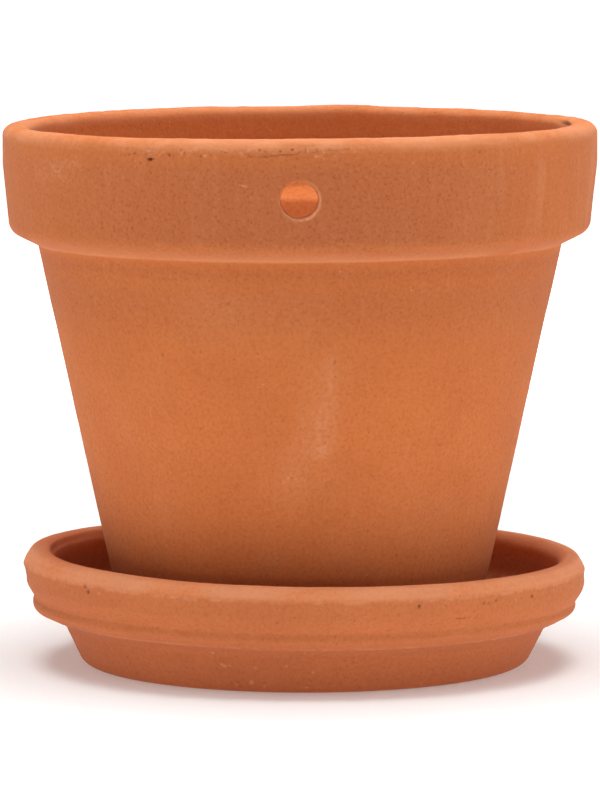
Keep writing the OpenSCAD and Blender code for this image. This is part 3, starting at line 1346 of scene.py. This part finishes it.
@dataclass
class ClaySaucer(ClayPiece):
    """The saucer: a flared wall under a stepped ring and a rolled rim."""

    piece: str = "fired_saucer"
    node: str = "saucer"
    body: str = "saucer"
    slot: str = "saucer_clay"
    floor_thickness: float = 7.5 * MM
    floor_radius: float = 71.0 * MM
    wall: float = 8.0 * MM
    wall_slope: float = 26.0
    foot_round: float = 4.5 * MM
    bowl_round: float = 9.0 * MM
    roll_thickness: float = 8.4 * MM
    roll_height: float = 15.3 * MM
    roll_swell: float = 0.8 * MM
    roll_sag: float = 2.0 * MM
    ring_height: float = 3.0 * MM
    ring_under: float = 6.3 * MM
    ring_step: float = 2.4 * MM
    ring_round: float = 4.5 * MM
    rim_lean: float = 0.0113
    aside: float = 1.15 * MM
    rim_aside: float = 0.35 * MM
    raised_line: Turning = Turning(32.8 * MM, 0.55 * MM, 0.16 * MM)
    line_drift: float = 0.25 * MM
    bevel_depth: float = 0.55 * MM
    step_depth: float = 0.34 * MM
    left_ring_swell: float = 0.85 * MM
    left_roll_swell: float = 1.0 * MM
    pits_left: float = 0.85
    flecks: int = 110

    def build(self, finish: FiredClay) -> bpy.types.Object:
        """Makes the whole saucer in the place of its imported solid.

        Args:
            finish: The clay's finish.

        Returns:
            The new object.
        """
        low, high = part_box(self.node)
        self.foot_z, self.rim_z = low[2], high[2]
        self.widest = (high[0] - low[0]) / 2
        surface = TurnedSurface(self.section(), seed=23)
        self.weather(surface)
        self.turn_lines(surface)
        self.mark(surface)
        self.lean(surface)
        made = surface.mesh(self.piece, ring=False)
        surface.write_masks(made, cut_pale=0.0)
        return self.hand_over(made, finish)

    def section(self) -> list[Corner]:
        """The saucer's section, from the middle of its foot out, up and down into its bowl.

        Returns:
            The section's corners in order.
        """
        flare = math.tan(math.radians(self.wall_slope))
        foot = self.floor_radius + self.wall - self.floor_thickness * flare
        groove_z = self.rim_z - self.roll_height
        ring_z = groove_z - self.ring_height
        under_z = ring_z - self.ring_under
        roll_z = (groove_z + self.rim_z) / 2 - self.roll_sag
        rim = self.widest - 0.62 * MM
        ring = rim - self.ring_step
        rim_in = rim - self.roll_thickness
        floor_z = self.foot_z + self.floor_thickness
        bowl_z = (floor_z + self.rim_z) / 2
        out, inn, under = Skin.OUTSIDE, Skin.INSIDE, Skin.FOOT
        roll_round = self.roll_thickness / 2
        return [
            Corner(0, self.foot_z, 0, 3.2 * MM, under),
            Corner(foot, self.foot_z, self.foot_round, 0.6 * MM, out),
            Corner(foot + under_z * flare, under_z, 1.0 * MM, 0.5 * MM, out),
            Corner(ring, ring_z, self.ring_round, 0.35 * MM, out),
            Corner(ring, groove_z, 0.5 * MM, 0.35 * MM, out),
            Corner(rim + self.roll_swell, roll_z, self.roll_thickness, 0.4 * MM, out),
            Corner(rim, self.rim_z, roll_round, 0.5 * MM, out),
            Corner(rim_in, self.rim_z, roll_round, 1.1 * MM, inn),
            Corner(ring - self.wall, bowl_z, self.bowl_round, 1.3 * MM, inn),
            Corner(self.floor_radius, floor_z, self.bowl_round, 2.6 * MM, inn),
            Corner(0, floor_z, 0, 3.0 * MM, inn),
        ]

    def weather(self, surface: TurnedSurface) -> None:
        """Lays unevenness over the saucer, but for the foot and the floor that it carries the pot on.

        Args:
            surface: The saucer's surface.
        """
        wall = climb(surface.height, self.foot_z + 1 * MM, 4 * MM)
        above = climb(surface.height, self.floor_thickness + 2 * MM, 6 * MM)
        inside = surface.skin == Skin.INSIDE.value
        free = np.where(inside, above, wall) * (surface.skin != Skin.FOOT.value)
        surface.roughen(SAUCER_UNEVENNESS, free[:, None])

    def turn_lines(self, surface: TurnedSurface) -> None:
        """Turns the fine lines and the bevel into the rolled rim, and swells its left side.

        Args:
            surface: The saucer's surface.
        """
        drift = self.line_drift * surface.noise.smooth(surface.around, np.zeros(1), 9, 1)
        outside = surface.side(Skin.OUTSIDE)
        height = surface.height[:, None] - drift
        for line in (self.raised_line, *SAUCER_TURNINGS):
            surface.lift += line.relief * bell(height, line.height, line.width) * outside
        bevel = climb(height, 32.6 * MM, 3.0 * MM) * fall(height, 36.9 * MM, 1.2 * MM)
        step = fall(height, 16.3 * MM, 0.6 * MM) * climb(height, 11.5 * MM, 3.5 * MM)
        left = bell(surface.degrees, -90, 42)
        ring = left * climb(height, 15.5 * MM, 2.5 * MM) * fall(height, 23.0 * MM, 1.8 * MM)
        roll = left * climb(height, 28.5 * MM, 4.0 * MM)
        surface.lift -= (self.bevel_depth * bevel + self.step_depth * step) * outside
        surface.lift += (self.left_ring_swell * ring + self.left_roll_swell * roll) * outside
        self.wear_edges(surface, height)

    def wear_edges(self, surface: TurnedSurface, height: np.ndarray) -> None:
        """Rubs the raised line and the ring's lower edge pale, paints light on the crown, and paints shade in
        the bowl and on the lower wall.

        Args:
            surface: The saucer's surface.
            height: Each point's height, less the drift of the turned lines.
        """
        outside = surface.side(Skin.OUTSIDE)
        edge = bell(height, 16.5 * MM, 0.5 * MM) * outside
        line = bell(height, self.raised_line.height, self.raised_line.width) * outside
        ragged = surface.cloud((240, 60), 2)
        surface.lift += 0.12 * MM * edge * ragged
        # Painted light on the saucer's crown, which faces up.
        crown = climb(surface.height, 32.6 * MM, 1.6 * MM)[:, None]
        patchiness = surface.cloud((70, 80), 3)
        surface.paint(PaintedMask.RUBBED_AND_LIT, crown * np.clip(0.78 + 0.15 * patchiness, 0, 1))
        surface.masks[PaintedMask.PAINTED_LIGHT] += 0.85 * crown * outside
        pale = 0.5 * np.clip(0.35 + 0.5 * ragged, 0, 1) * edge + 0.40 * line * np.clip(0.5 + ragged, 0, 1)
        # Painted shade in the bowl, where the pot shades it; the pale share makes the shade browner.
        bowl = surface.side(Skin.INSIDE, -1.0, 33 * MM, 4 * MM)
        surface.paint(PaintedMask.PALE, pale + 0.34 * bowl)
        surface.masks[PaintedMask.DARK] += 0.24 * bowl
        # Painted shade on the lower wall, near the floor.
        surface.shade(SAUCER_FOOT_SHADE)

    def mark(self, surface: TurnedSurface) -> None:
        """Puts the saucer's pits, flecks and scratches on it.

        Args:
            surface: The saucer's surface.
        """
        for pit in SAUCER_PITS:
            surface.dent(replace(pit, angle=pit.angle - self.pits_left / math.cos(math.radians(pit.angle))))
        for scratch in SAUCER_SCRATCHES:
            surface.score(scratch)
        draw = surface.rng.uniform
        for _ in range(self.flecks):
            size = draw(0.35, 0.95) * MM
            kind = draw(0, 1)
            surface.dent(Pit(
                angle=draw(-180, 180),
                height=draw(3, 35) * MM,
                width=size,
                tall=size * draw(*ROUNDNESS),
                depth=0.10 * MM * draw(*DEPTH_SPREAD),
                dark=0.35 * kind if kind > 0.5 else 0.0,
                pale=0.4 * kind if kind < 0.35 else 0.1,
            ))

    def lean(self, surface: TurnedSurface) -> None:
        """Lets the rim dip a little on the right and sit off centre, over a flat foot.

        Args:
            surface: The saucer's surface.
        """
        share = np.clip(surface.height / self.rim_z, 0, 1)[:, None]
        inside = (surface.skin == Skin.INSIDE.value)[:, None]
        floor = climb(surface.height, self.floor_thickness, self.rim_z - self.floor_thickness)[:, None]
        share = np.where(inside, floor, share)
        right = surface.radius[:, None] * np.sin(surface.theta)[None, :]
        surface.rise -= self.rim_lean * right * share
        surface.shift_x += self.aside + self.rim_aside * share


# A random pit's height for its width, and its depth for the usual depth, from least to most.
ROUNDNESS = (0.7, 1.2)
DEPTH_SPREAD = (0.4, 1.3)

POT_UNEVENNESS = Unevenness((14, 18), 0.10 * MM, (420, 300), 0.016 * MM, (5, 330), 0.020 * MM)
SAUCER_UNEVENNESS = Unevenness((16, 20), 0.16 * MM, (420, 240), 0.020 * MM, (5, 260), 0.035 * MM)
LIP_WAVES = (
    Wave(1, 0.35 * MM, -1.3),
    Wave(2, 0.27 * MM, 0.77),
    Wave(3, 0.07 * MM, 0.9),
    Wave(11, 0.06 * MM, 0.0),
)
COLLAR_SPECKLING = (
    Speckling(46, (177.2 * MM, 180.8 * MM), (0.35, 0.9), 0.16, 0.4),
    Speckling(70, (150 * MM, 177 * MM), (0.35, 0.7), 0.08, 0.2),
)
BODY_SPECKLING = Speckling(40, (30 * MM, 140 * MM), (0.4, 0.8), 0.08, 0.22)
EDGE_WEAR = (
    Smudge(-6, 179 * MM, 62 * MM, 8 * MM, 1.0),
    Smudge(-29, 178.8 * MM, 22 * MM, 7 * MM, 0.8),
)
COLLAR_SCUFFS = (
    Smudge(-53, 171.5 * MM, 15 * MM, 8 * MM, 0.30),
    Smudge(-47, 173.8 * MM, 9 * MM, 4 * MM, 0.22),
    Smudge(-58, 168 * MM, 7 * MM, 8 * MM, 0.16),
)
BODY_SMEAR = (
    Smudge(7.2, 107 * MM, 11 * MM, 13 * MM, 0.20),
    Smudge(5.2, 97 * MM, 12 * MM, 22 * MM, 0.32),
    Smudge(4.2, 85 * MM, 10 * MM, 18 * MM, 0.36),
    Smudge(4.4, 79.5 * MM, 6.5 * MM, 5 * MM, 0.40),
)
BODY_PATCH = (Smudge(-1.0, 70 * MM, 24 * MM, 22 * MM, 0.15),)
# Bands of painted shade low on the body and under the collar, and of painted light on the ledge inside the
# pot.
POT_LIGHT_AND_SHADE = (
    Band(PaintedMask.PAINTED_SHADE, Skin.OUTSIDE, 0.0, 42 * MM, 24 * MM, 1.0),
    Band(PaintedMask.PAINTED_SHADE, Skin.OUTSIDE, 113 * MM, 142.4 * MM, 12 * MM, 0.50),
    Band(PaintedMask.PAINTED_SHADE, Skin.OUTSIDE, 135 * MM, 142.4 * MM, 4 * MM, 0.50),
    Band(PaintedMask.PAINTED_LIGHT, Skin.INSIDE, 138 * MM, 157.5 * MM, 2 * MM, 0.85),
)
SAUCER_TURNINGS = (
    Turning(30.0 * MM, 1.9 * MM, -0.34 * MM),
    Turning(26.4 * MM, 2.0 * MM, 0.12 * MM),
    Turning(21.5 * MM, 1.2 * MM, -0.20 * MM),
)
# Painted shade on the saucer's lower wall, near the floor.
SAUCER_FOOT_SHADE = Band(PaintedMask.PAINTED_SHADE, Skin.OUTSIDE, -2 * MM, 16.5 * MM, 1.0 * MM, 0.30)
COLLAR_PITS = (
    Pit(-28.7, 176.5 * MM, 1.8 * MM, 1.0 * MM, 0.60 * MM, dark=1.0),
    Pit(-28.9, 176.4 * MM, 1.3 * MM, 0.7 * MM, 0.30 * MM, dark=1.0),
    Pit(-28.0, 176.6 * MM, 0.9 * MM, 0.5 * MM, 0.2 * MM, dark=0.6),
    Pit(-32.1, 178.4 * MM, 1.0 * MM, 0.7 * MM, 0.25 * MM, dark=0.55),
    Pit(-33.3, 177.9 * MM, 0.8 * MM, 0.6 * MM, 0.18 * MM, dark=0.5),
    Pit(-29.7, 178.2 * MM, 0.9 * MM, 0.6 * MM, 0.25 * MM, dark=0.5, pale=0.4),
    Pit(-29.0, 179.4 * MM, 0.9 * MM, 0.6 * MM, -0.16 * MM, pale=0.9),
    Pit(-28.3, 178.9 * MM, 0.9 * MM, 0.7 * MM, 0.2 * MM, dark=0.4, pale=0.7),
    Pit(-24.8, 178.2 * MM, 1.1 * MM, 0.8 * MM, 0.3 * MM, dark=0.65),
    Pit(-23.9, 177.8 * MM, 0.8 * MM, 0.6 * MM, 0.15 * MM, dark=0.4),
    Pit(-22.4, 179.9 * MM, 0.9 * MM, 0.9 * MM, 0.25 * MM, dark=0.35, pale=0.3),
    Pit(-21.6, 179.0 * MM, 0.7 * MM, 0.9 * MM, 0.18 * MM, dark=0.4),
    Pit(-17.7, 178.1 * MM, 0.75 * MM, 0.6 * MM, -0.16 * MM, pale=1.0),
    Pit(-18.5, 177.9 * MM, 0.7 * MM, 0.7 * MM, 0.2 * MM, dark=0.6),
    Pit(-13.7, 179.3 * MM, 1.2 * MM, 0.7 * MM, 0.28 * MM, dark=0.5),
    Pit(-7.4, 180.2 * MM, 0.9 * MM, 0.7 * MM, 0.3 * MM, dark=0.65),
    Pit(-6.3, 179.6 * MM, 0.7 * MM, 0.6 * MM, 0.2 * MM, dark=0.5),
    Pit(-3.6, 179.7 * MM, 0.8 * MM, 0.6 * MM, 0.3 * MM, dark=0.8),
    Pit(-1.4, 180.2 * MM, 0.9 * MM, 0.7 * MM, 0.3 * MM, dark=0.8),
    Pit(1.0, 180.1 * MM, 0.8 * MM, 1.6 * MM, 0.3 * MM, dark=0.35),
    Pit(3.1, 179.9 * MM, 0.9 * MM, 1.4 * MM, 0.28 * MM, dark=0.3),
    Pit(5.5, 180.2 * MM, 0.8 * MM, 0.9 * MM, 0.18 * MM, dark=0.25),
    Pit(35.4, 177.9 * MM, 0.9 * MM, 0.7 * MM, 0.22 * MM, dark=0.5),
    Pit(-10.0, 179.0 * MM, 0.9 * MM, 0.6 * MM, 0.15 * MM, dark=0.3, pale=0.4),
)
COLLAR_SCRATCHES = (
    Scratch(
        ((-9.7, 178.5 * MM), (-9.2, 177.8 * MM), (-8.4, 178.0 * MM), (-7.2, 177.6 * MM),
         (-6.6, 177.8 * MM), (-5.8, 177.9 * MM), (-5.2, 178.2 * MM), (-4.3, 178.1 * MM),
         (-3.6, 178.5 * MM), (-2.4, 178.4 * MM), (-1.3, 178.5 * MM), (-0.5, 178.8 * MM),
         (0.2, 179.5 * MM)),
        0.26 * MM, 0.20 * MM, dark=0.55),
    Scratch(
        ((0.3, 179.4 * MM), (1.6, 178.9 * MM), (2.6, 179.1 * MM), (3.6, 179.6 * MM),
         (6.4, 179.7 * MM), (9.2, 180.2 * MM)),
        0.28 * MM, 0.14 * MM, dark=0.30),
    Scratch(((-11.2, 168.4 * MM), (-10.4, 168.1 * MM), (-9.8, 167.9 * MM)), 0.5 * MM, -0.05 * MM, pale=0.55),
    Scratch(((-53.4, 170.6 * MM), (-52.2, 170.5 * MM), (-51.2, 170.9 * MM)), 0.7 * MM, -0.05 * MM, pale=0.45),
    Scratch(((-47.6, 174.4 * MM), (-46.6, 174.1 * MM)), 0.7 * MM, -0.05 * MM, pale=0.35),
)
BODY_PITS = (
    Pit(7.9, 109.4 * MM, 1.0 * MM, 0.8 * MM, 0.22 * MM, dark=0.55),
    Pit(63.7, 104.9 * MM, 1.0 * MM, 0.9 * MM, 0.2 * MM, dark=0.5),
    Pit(7.2, 138.5 * MM, 0.9 * MM, 0.8 * MM, 0.2 * MM, dark=0.45),
    Pit(-3.1, 70.8 * MM, 0.9 * MM, 0.8 * MM, -0.08 * MM, pale=0.8),
    Pit(-2.3, 72.0 * MM, 0.7 * MM, 0.7 * MM, -0.06 * MM, pale=0.7),
    Pit(-4.1, 69.4 * MM, 0.7 * MM, 0.6 * MM, -0.06 * MM, pale=0.6),
)
SAUCER_PITS = (
    Pit(-48.6, 32.7 * MM, 1.3 * MM, 0.9 * MM, 0.35 * MM, dark=0.75),
    Pit(-47.8, 31.2 * MM, 1.4 * MM, 1.0 * MM, 0.40 * MM, dark=0.85),
    Pit(23.8, 31.0 * MM, 0.9 * MM, 1.1 * MM, 0.34 * MM, dark=0.95),
    Pit(42.3, 30.9 * MM, 0.9 * MM, 0.8 * MM, 0.30 * MM, dark=0.85),
    Pit(53.4, 30.5 * MM, 1.1 * MM, 0.9 * MM, 0.36 * MM, dark=1.0),
    Pit(39.0, 30.4 * MM, 1.2 * MM, 0.7 * MM, 0.28 * MM, dark=0.6),
    Pit(40.2, 30.1 * MM, 0.9 * MM, 0.7 * MM, 0.22 * MM, dark=0.5),
    Pit(-44.6, 31.2 * MM, 0.62 * MM, 0.54 * MM, -0.10 * MM, pale=0.8),
    Pit(47.9, 30.3 * MM, 0.62 * MM, 0.48 * MM, -0.10 * MM, pale=0.7),
    Pit(44.9, 32.5 * MM, 0.56 * MM, 0.48 * MM, -0.08 * MM, pale=0.6),
    Pit(-20.6, 13.4 * MM, 0.56 * MM, 0.54 * MM, -0.08 * MM, pale=0.8),
    Pit(-17.1, 9.4 * MM, 0.56 * MM, 0.54 * MM, -0.08 * MM, pale=0.8),
    Pit(-10.9, 9.0 * MM, 0.62 * MM, 0.54 * MM, -0.08 * MM, pale=0.8),
    Pit(-12.2, 3.8 * MM, 0.81 * MM, 0.75 * MM, -0.10 * MM, pale=1.0),
    Pit(-16.2, 2.5 * MM, 0.56 * MM, 0.54 * MM, -0.08 * MM, pale=0.8),
    Pit(-9.1, 2.4 * MM, 0.56 * MM, 0.54 * MM, -0.08 * MM, pale=0.8),
    Pit(2.7, 7.8 * MM, 0.62 * MM, 0.54 * MM, -0.08 * MM, pale=0.8),
    Pit(-3.6, 9.9 * MM, 0.56 * MM, 0.54 * MM, -0.08 * MM, pale=0.7),
    Pit(0.8, 14.8 * MM, 0.56 * MM, 0.48 * MM, -0.08 * MM, pale=0.7),
    Pit(1.2, 2.2 * MM, 0.99 * MM, 0.48 * MM, -0.08 * MM, pale=0.7),
    Pit(31.0, 1.9 * MM, 0.56 * MM, 0.54 * MM, -0.08 * MM, pale=0.7),
)
SAUCER_SCRATCHES = (
    Scratch(((31.6, 25.9 * MM), (32.7, 25.9 * MM), (33.7, 25.8 * MM)), 0.34 * MM, 0.20 * MM, dark=0.65),
    Scratch(((34.1, 25.9 * MM), (34.9, 25.8 * MM)), 0.28 * MM, 0.14 * MM, dark=0.45),
    Scratch(((35.6, 25.8 * MM), (36.5, 25.7 * MM)), 0.26 * MM, 0.12 * MM, dark=0.4),
    Scratch(((-20.2, 9.9 * MM), (-19.6, 9.4 * MM), (-19.0, 9.0 * MM)), 0.5 * MM, -0.05 * MM, pale=0.8),
)


POT_CLAY = FiredClay("pot_fired_clay")
SAUCER_CLAY = FiredClay(
    "saucer_fired_clay",
    mid=(0.60, 0.172, 0.058),
    deep=(0.53, 0.140, 0.046),
    warm=(0.65, 0.192, 0.064),
    # The saucer's colours of painted shade and painted light.
    painted_shade=(0.44, 0.122, 0.046),
    painted_light=(0.76, 0.228, 0.078),
)


class Toward(Enum):
    """Directions that the studio's soft light comes from: the axis, and which way along it."""

    UP = ("Z", 1)
    LEFT = ("X", -1)
    RIGHT = ("X", 1)
    FRONT = ("Y", -1)
    BACK = ("Y", 1)


@dataclass(frozen=True)
class Lamp:
    """A square soft lamp that faces the pot, with its width in metres and its power in watts."""

    name: str
    place: tuple[float, float, float]
    size: float
    power: float

    def hang(self) -> None:
        """Makes the lamp and turns it to the middle of the pot."""
        lamp = bpy.data.lights.new(self.name, "AREA")
        lamp.shape = "SQUARE"
        lamp.size = self.size
        lamp.energy = self.power
        thing = bpy.data.objects.new(self.name, lamp)
        thing.location = self.place
        aim = Vector((0, 0, 90 * MM)) - Vector(self.place)
        thing.rotation_euler = aim.to_track_quat("-Z", "Y").to_euler()
        bpy.context.scene.collection.objects.link(thing)


@dataclass
class Studio:
    """A pale floor inside a white tent, and the camera that looks at the pot a little from above."""

    floor_size: float = 40.0
    floor_drop: float = 0.2 * MM
    backdrop_reach: float = 13.0
    backdrop_height: float = 1.32
    backdrop_sides: int = 64
    floor_colour: tuple[float, float, float] = (0.84, 0.84, 0.84)
    paper_roughness: float = 0.9
    floor_specular: float = 0.1
    floor_glow: tuple[float, float] = (0.21, 1.0)
    glow_reach: tuple[float, float] = (0.45, 1.2)
    camera_place: tuple[float, float, float] = (-0.0005, -1.8836, 0.2889)
    camera_pitch: float = 83.934
    camera_lens: float = 251.4
    camera_sensor: float = 36.0
    camera_sight: float = 100.0
    tent: dict[Toward, float] = field(default_factory=lambda: {
        Toward.UP: 0.18,
        Toward.LEFT: 0.05,
        Toward.RIGHT: 0.12,
        Toward.FRONT: 0.02,
        Toward.BACK: 0.10,
    })
    lamps: tuple[Lamp, ...] = field(default_factory=lambda: (
        Lamp("lamp_over", (0.0, 0.0, 1.1), 0.9, 13.9),
        Lamp("lamp_over_front", (0.0, -0.9, 1.0), 0.8, 2.1),
        Lamp("lamp_low_front", (0.0, -1.1, 0.08), 0.5, 0.3),
        Lamp("lamp_left", (-1.0, -0.1, 0.45), 0.6, 1.4),
        Lamp("lamp_right", (1.0, -0.1, 0.45), 0.6, 1.75),
    ))

    def build(self) -> None:
        """Makes the floor, the light and the camera."""
        self.lay_floor()
        self.raise_backdrop()
        self.light()
        self.place_camera()

    def paper(self, name: str) -> bpy.types.Material:
        """Makes matt pale paper that glows evenly, so that the studio has no dark end.

        Args:
            name: Name of the material.

        Returns:
            The new material.
        """
        material = bpy.data.materials.new(name)
        material.use_nodes = True
        inputs = material.node_tree.nodes["Principled BSDF"].inputs
        inputs["Base Color"].default_value = (*self.floor_colour, 1)
        inputs["Roughness"].default_value = self.paper_roughness
        inputs["Emission Color"].default_value = (1, 1, 1, 1)
        inputs["Emission Strength"].default_value = self.floor_glow[1]
        return material

    def put_up(
        self, name: str, corners: list[tuple], faces: list[tuple], material: bpy.types.Material
    ) -> None:
        """Puts up one piece of the studio, which isn't part of the object.

        Args:
            name: Name of the piece.
            corners: Places of its corners.
            faces: Corners of each face.
            material: What it is covered with.
        """
        made = bpy.data.meshes.new(name)
        made.from_pydata(corners, [], faces)
        made.materials.append(material)
        thing = bpy.data.objects.new(name, made)
        bpy.context.scene.collection.objects.link(thing)

    def lay_floor(self) -> None:
        """Lays a wide flat floor under the saucer, which glows less close to it."""
        half, drop = self.floor_size / 2, -self.floor_drop
        corners = [(-half, -half, drop), (half, -half, drop), (half, half, drop), (-half, half, drop)]
        material = self.paper("floor_paper")
        inputs = material.node_tree.nodes["Principled BSDF"].inputs
        inputs["Specular IOR Level"].default_value = self.floor_specular
        nodes = ClayNodes(material.node_tree)
        far = nodes.add("ShaderNodeVectorMath")
        far.operation = "LENGTH"
        nodes.link(nodes.add("ShaderNodeTexCoord").outputs["Object"], far.inputs[0])
        near, wide = self.floor_glow
        glow = nodes.ramp(far.outputs["Value"], *self.glow_reach, wide, low=near)
        nodes.link(glow, inputs["Emission Strength"])
        self.put_up("studio_floor", corners, [(0, 1, 2, 3)], material)

    def raise_backdrop(self) -> None:
        """Stands a low white wall round the far end of the floor, so that it has no dark horizon."""
        count = self.backdrop_sides
        turns = [2 * math.pi * k / count for k in range(count)]
        reach = self.backdrop_reach
        ring = [(reach * math.cos(t), reach * math.sin(t)) for t in turns]
        corners = [(x, y, z) for z in (-self.floor_drop, self.backdrop_height) for x, y in ring]
        faces = []
        for k in range(count):
            n = (k + 1) % count
            faces.append((k, n, count + n, count + k))
        self.put_up("studio_backdrop", corners, faces, self.paper("backdrop_paper"))

    def light(self) -> None:
        """Lights the tent all around, each side at its own strength, with no edge between them."""
        world = bpy.data.worlds.new("studio_tent")
        world.use_nodes = True
        tree = world.node_tree
        nodes = ClayNodes(tree)
        parts = nodes.add("ShaderNodeSeparateXYZ")
        nodes.link(nodes.add("ShaderNodeTexCoord").outputs["Generated"], parts.inputs[0])
        total: Socket | None = None
        for toward, strength in self.tent.items():
            axis, sign = toward.value
            facing = nodes.math("MAXIMUM", nodes.product(parts.outputs[axis], float(sign)), 0.0)
            share = nodes.product(nodes.product(facing, facing), strength)
            total = share if total is None else nodes.math("ADD", total, share)
        nodes.link(total, tree.nodes["Background"].inputs["Strength"])
        tree.nodes["Background"].inputs["Color"].default_value = (1, 1, 1, 1)
        bpy.context.scene.world = world
        for lamp in self.lamps:
            lamp.hang()

    def place_camera(self) -> None:
        """Sets the camera level across, pitched down at the pot."""
        camera = bpy.data.cameras.new("studio_camera")
        camera.lens = self.camera_lens
        camera.sensor_width = self.camera_sensor
        camera.sensor_fit = "AUTO"
        camera.clip_end = self.camera_sight
        thing = bpy.data.objects.new("studio_camera", camera)
        thing.location = self.camera_place
        thing.rotation_euler = (math.radians(self.camera_pitch), 0, 0)
        bpy.context.scene.collection.objects.link(thing)
        bpy.context.scene.camera = thing


def main() -> None:
    """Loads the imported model, builds each piece over it and sets up the studio."""
    logging.basicConfig(level=logging.INFO, format="%(name)s: %(message)s")
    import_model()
    bpy.context.scene.view_settings.view_transform = "Standard"
    saucer = ClaySaucer().build(SAUCER_CLAY)
    LOG.info("made %s with %d faces", saucer.name, len(saucer.data.polygons))
    pot = ClayPot().build(POT_CLAY)
    LOG.info("made %s with %d faces", pot.name, len(pot.data.polygons))
    Studio().build()
    LOG.info("set up the studio")


if __name__ == "__main__":
    main()
